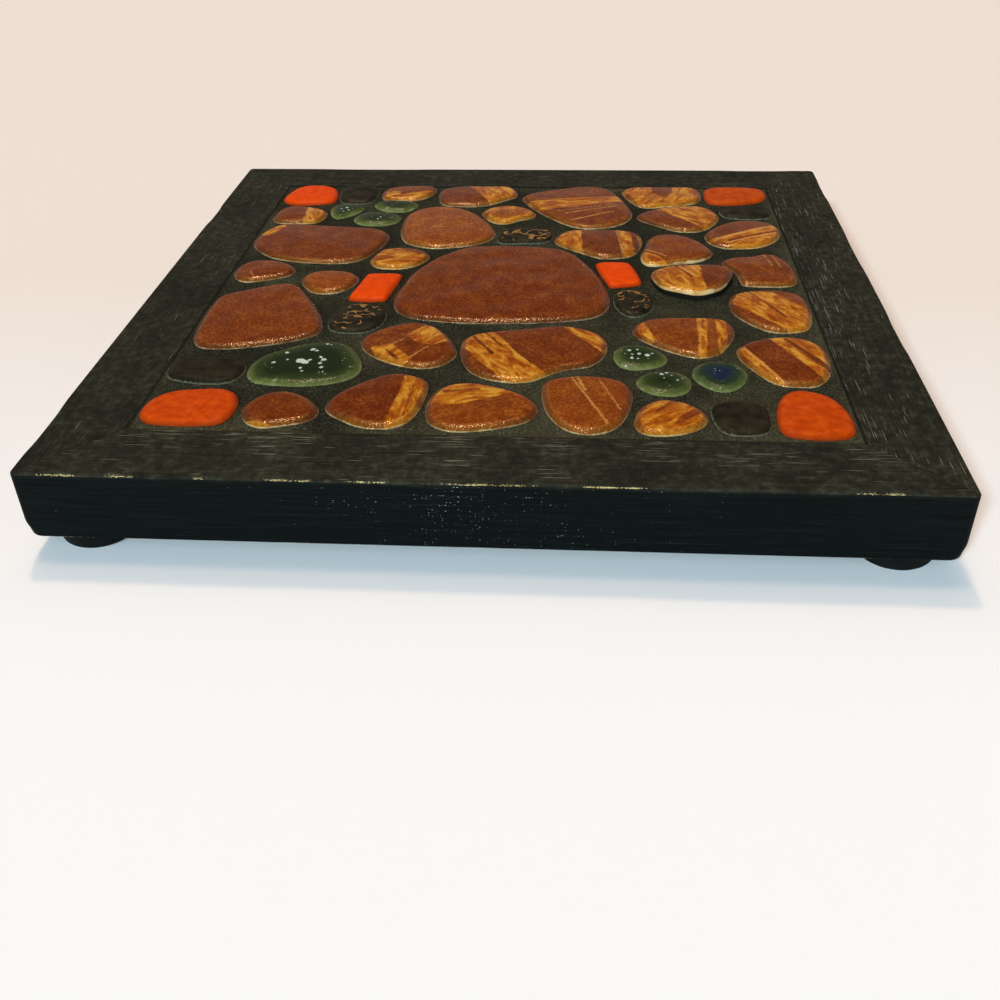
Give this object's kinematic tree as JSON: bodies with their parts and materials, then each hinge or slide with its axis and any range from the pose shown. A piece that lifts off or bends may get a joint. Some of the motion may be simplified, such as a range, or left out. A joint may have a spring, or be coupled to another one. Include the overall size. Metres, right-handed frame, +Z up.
{
  "type": "trivet",
  "caption": "Square trivet with a mitred dark wooden frame and a mosaic of glazed stoneware pebbles set in dark grout, on round rubber feet.",
  "frame": {"origin": "on the floor, under the middle of the frame", "axes": "+Z up out of the mosaic, -Y towards the front rail, +X to the right seen from the front"},
  "size_m": [0.23, 0.23, 0.028],
  "materials": {
    "stained_wood": "matt black stain, open grain, worn on the edges",
    "plywood": "raw, sanded",
    "grout": "sandy cement, matt",
    "rubber": "matt",
    "plated_steel": "zinc plated",
    "bright_steel": "bright drawn wire",
    "orange_glaze": "satin",
    "russet_glaze": "gloss, speckled",
    "honey_glaze": "gloss",
    "tan_glaze": "gloss, streaked",
    "green_glaze": "gloss with white crystals",
    "blue_green_glaze": "gloss",
    "black_glaze": "satin"
  },
  "bodies": {
    "root": {"front_rail": "stained_wood", "right_rail": "stained_wood", "back_rail": "stained_wood", "left_rail": "stained_wood", "base_panel": "plywood", "grout": "grout", "foot_front_left": "rubber", "foot_front_right": "rubber", "foot_back_right": "rubber", "foot_back_left": "rubber", "foot_screws": "plated_steel", "foot_washers": "plated_steel", "mitre_brads": "bright_steel", "panel_pins": "bright_steel", "orange_pebble_back_left": "orange_glaze", "black_pebble_back_left": "black_glaze", "russet_pebble_back_left": "russet_glaze", "half_tan_pebble_back": "russet_glaze", "banded_pebble_back": "honey_glaze", "tan_pebble_back_right": "tan_glaze", "orange_pebble_back_right": "orange_glaze", "half_tan_pebble_left_back": "russet_glaze", "small_green_pebbles": "green_glaze", "honey_pebble_back_left": "honey_glaze", "tan_pebble_back_middle": "tan_glaze", "half_tan_pebble_right_back": "tan_glaze", "black_pebble_right_back": "black_glaze", "striped_pebble_right_back": "tan_glaze", "russet_pebble_left_back": "russet_glaze", "marked_black_pebble_back": "black_glaze", "striped_pebble_back_middle": "tan_glaze", "russet_pebble_right_middle": "russet_glaze", "ochre_pebble_left_middle": "tan_glaze", "russet_pebble_left_middle": "russet_glaze", "small_russet_pebble_left": "russet_glaze", "orange_chips": "orange_glaze", "centre_pebble": "russet_glaze", "thick_pebble_right": "tan_glaze", "russet_pebble_right_edge": "russet_glaze", "marbled_pebble_right": "tan_glaze", "large_russet_pebble_left": "russet_glaze", "marked_black_pebble_left": "black_glaze", "marked_black_pebble_right": "black_glaze", "striped_pebble_right_front": "tan_glaze", "black_pebble_left_front": "black_glaze", "large_green_pebble": "green_glaze", "patched_pebble_front": "russet_glaze", "banded_pebble_front": "russet_glaze", "small_green_pebble_right": "green_glaze", "green_pebble_right_front": "green_glaze", "blue_green_pebble_right": "blue_green_glaze", "striped_pebble_right_corner": "tan_glaze", "orange_pebble_front_left": "orange_glaze", "russet_pebble_front_left": "russet_glaze", "half_tan_pebble_front": "russet_glaze", "swirled_pebble_front": "tan_glaze", "lined_pebble_front": "tan_glaze", "ochre_pebble_front": "tan_glaze", "black_pebble_front_right": "black_glaze", "orange_pebble_front_right": "orange_glaze"}
  },
  "joints": []
}
